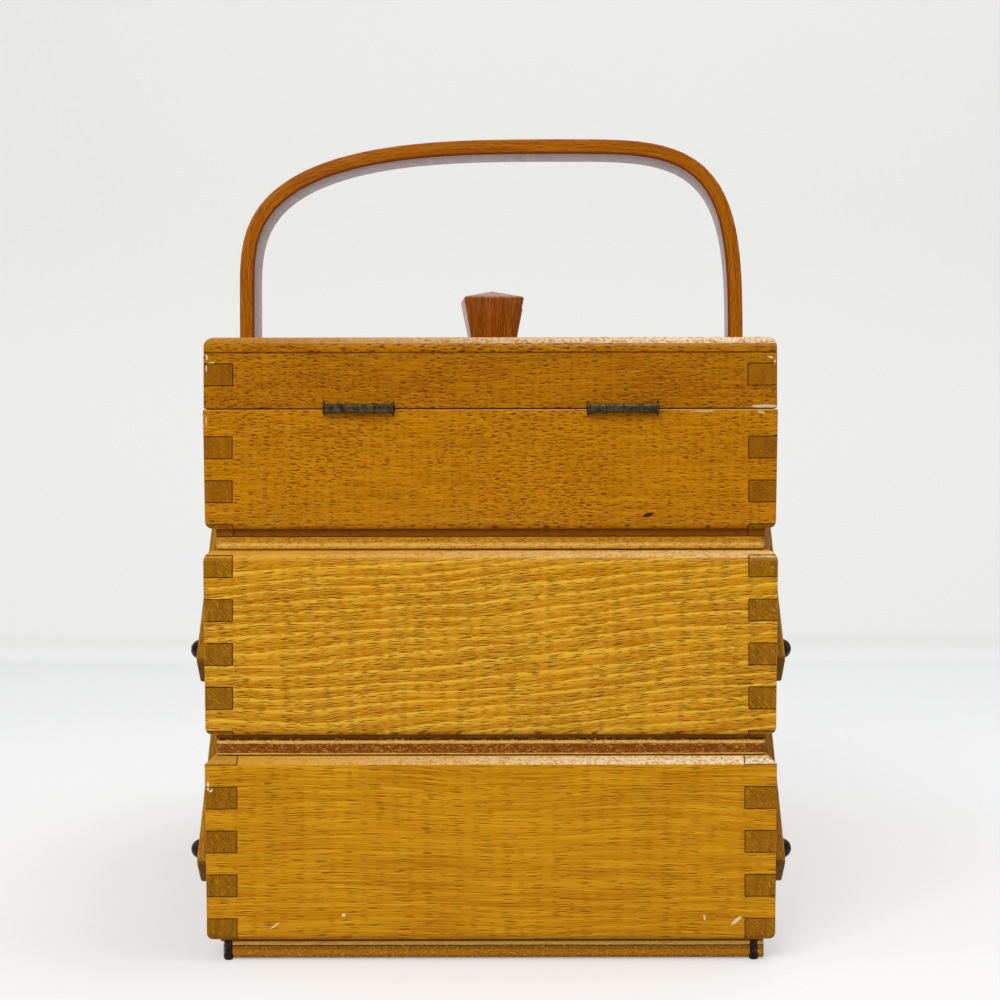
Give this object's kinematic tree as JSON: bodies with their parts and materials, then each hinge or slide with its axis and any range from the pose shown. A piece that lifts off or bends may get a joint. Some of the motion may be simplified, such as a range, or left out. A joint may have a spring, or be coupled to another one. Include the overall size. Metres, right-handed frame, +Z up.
{
  "type": "cantilever sewing box",
  "caption": "Wooden cantilever sewing carrier: stacked trays swing out on side arms to both ends, hinged lids with square knobs, bent-wood band handle over the top.",
  "frame": {"origin": "on the ground, under the middle of the closed carrier", "axes": "+X across the carrier to its right, +Y along it from the near end to the far end, +Z up"},
  "size_m": [0.2572, 0.4096, 0.3756],
  "materials": {
    "lacquered_beech": "honey-coloured glossy lacquer over flecked beech",
    "bent_beech": "honey-coloured glossy lacquer over steam-bent beech",
    "arm_beech": "honey-coloured satin lacquer",
    "floor_plywood": "lacquered plywood with darker cut edges",
    "plain_beech": "thin satin lacquer",
    "dark_knob_wood": "dark brown satin lacquer",
    "black_steel": "black, half gloss",
    "aged_brass": "dull and darkened"
  },
  "bodies": {
    "base": {"base_near_end": "lacquered_beech", "base_far_end": "lacquered_beech", "base_left_side": "lacquered_beech", "base_right_side": "lacquered_beech", "base_floor": "floor_plywood", "base_glides": "black_steel", "base_screws": "black_steel", "handle_packers": "lacquered_beech", "handle_legs": "bent_beech", "handle_arch": "bent_beech"},
    "near_mid_tray": {"near_mid_outer_end": "lacquered_beech", "near_mid_inner_end": "lacquered_beech", "near_mid_left_side": "lacquered_beech", "near_mid_right_side": "lacquered_beech", "near_mid_floor": "floor_plywood", "near_mid_divider": "plain_beech", "near_mid_pivot_screws": "black_steel"},
    "near_top_tray": {"near_top_outer_end": "lacquered_beech", "near_top_inner_end": "lacquered_beech", "near_top_left_side": "lacquered_beech", "near_top_right_side": "lacquered_beech", "near_top_floor": "floor_plywood", "near_top_screws": "black_steel", "near_top_hinge_leaves": "aged_brass"},
    "near_lid": {"near_lid_outer_rail": "lacquered_beech", "near_lid_inner_rail": "lacquered_beech", "near_lid_left_rail": "lacquered_beech", "near_lid_right_rail": "lacquered_beech", "near_lid_panel": "lacquered_beech", "near_lid_knob": "dark_knob_wood", "near_lid_screws": "black_steel", "near_lid_hinge_leaves": "aged_brass"},
    "near_long_arm_pair": {"near_long_arms": "arm_beech"},
    "near_lower_arm_pair": {"near_lower_arms": "arm_beech"},
    "near_upper_arm_pair": {"near_upper_arms": "arm_beech"},
    "far_mid_tray": {"far_mid_outer_end": "lacquered_beech", "far_mid_inner_end": "lacquered_beech", "far_mid_left_side": "lacquered_beech", "far_mid_right_side": "lacquered_beech", "far_mid_floor": "floor_plywood", "far_mid_divider": "plain_beech", "far_mid_pivot_screws": "black_steel"},
    "far_top_tray": {"far_top_outer_end": "lacquered_beech", "far_top_inner_end": "lacquered_beech", "far_top_left_side": "lacquered_beech", "far_top_right_side": "lacquered_beech", "far_top_floor": "floor_plywood", "far_top_screws": "black_steel", "far_top_hinge_leaves": "aged_brass"},
    "far_lid": {"far_lid_outer_rail": "lacquered_beech", "far_lid_inner_rail": "lacquered_beech", "far_lid_left_rail": "lacquered_beech", "far_lid_right_rail": "lacquered_beech", "far_lid_panel": "lacquered_beech", "far_lid_knob": "dark_knob_wood", "far_lid_screws": "black_steel", "far_lid_hinge_leaves": "aged_brass"},
    "far_long_arm_pair": {"far_long_arms": "arm_beech"},
    "far_lower_arm_pair": {"far_lower_arms": "arm_beech"},
    "far_upper_arm_pair": {"far_upper_arms": "arm_beech"}
  },
  "joints": [
    {"name": "near_arms_swing", "type": "hinge", "parent": "base", "child": "near_long_arm_pair", "pos_m": [0, -0.175, 0.043], "axis": [1, 0, 0], "range_deg": [0, 80.2]},
    {"name": "near_mid_tray_pivot", "type": "hinge", "parent": "near_long_arm_pair", "child": "near_mid_tray", "pos_m": [0, -0.103, 0.1285], "axis": [1, 0, 0], "range_deg": [-81.2, 1]},
    {"name": "near_top_tray_pivot", "type": "hinge", "parent": "near_long_arm_pair", "child": "near_top_tray", "pos_m": [0, -0.031, 0.214], "axis": [1, 0, 0], "range_deg": [-81.2, 1]},
    {"name": "near_lower_arms_swing", "type": "hinge", "parent": "base", "child": "near_lower_arm_pair", "pos_m": [0, -0.103, 0.043], "axis": [1, 0, 0], "range_deg": [-1, 81.2]},
    {"name": "near_upper_arms_swing", "type": "hinge", "parent": "near_mid_tray", "child": "near_upper_arm_pair", "pos_m": [0, -0.175, 0.1285], "axis": [1, 0, 0], "range_deg": [-1, 81.2]},
    {"name": "near_lid_hinge", "type": "hinge", "parent": "near_top_tray", "child": "near_lid", "pos_m": [0, -0.2025, 0.2305], "axis": [1, 0, 0], "range_deg": [0, 180]},
    {"name": "far_arms_swing", "type": "hinge", "parent": "base", "child": "far_long_arm_pair", "pos_m": [0, 0.175, 0.043], "axis": [-1, 0, 0], "range_deg": [0, 80.2]},
    {"name": "far_mid_tray_pivot", "type": "hinge", "parent": "far_long_arm_pair", "child": "far_mid_tray", "pos_m": [0, 0.103, 0.1285], "axis": [-1, 0, 0], "range_deg": [-81.2, 1]},
    {"name": "far_top_tray_pivot", "type": "hinge", "parent": "far_long_arm_pair", "child": "far_top_tray", "pos_m": [0, 0.031, 0.214], "axis": [-1, 0, 0], "range_deg": [-81.2, 1]},
    {"name": "far_lower_arms_swing", "type": "hinge", "parent": "base", "child": "far_lower_arm_pair", "pos_m": [0, 0.103, 0.043], "axis": [-1, 0, 0], "range_deg": [-1, 81.2]},
    {"name": "far_upper_arms_swing", "type": "hinge", "parent": "far_mid_tray", "child": "far_upper_arm_pair", "pos_m": [0, 0.175, 0.1285], "axis": [-1, 0, 0], "range_deg": [-1, 81.2]},
    {"name": "far_lid_hinge", "type": "hinge", "parent": "far_top_tray", "child": "far_lid", "pos_m": [0, 0.2025, 0.2305], "axis": [-1, 0, 0], "range_deg": [0, 180]}
  ],
  "couplings": [
    {"joint": "near_mid_tray_pivot", "follows": "near_arms_swing", "ratio": -1},
    {"joint": "near_top_tray_pivot", "follows": "near_arms_swing", "ratio": -1},
    {"joint": "near_lower_arms_swing", "follows": "near_arms_swing", "ratio": 1},
    {"joint": "near_upper_arms_swing", "follows": "near_arms_swing", "ratio": 1},
    {"joint": "far_mid_tray_pivot", "follows": "far_arms_swing", "ratio": -1},
    {"joint": "far_top_tray_pivot", "follows": "far_arms_swing", "ratio": -1},
    {"joint": "far_lower_arms_swing", "follows": "far_arms_swing", "ratio": 1},
    {"joint": "far_upper_arms_swing", "follows": "far_arms_swing", "ratio": 1}
  ]
}
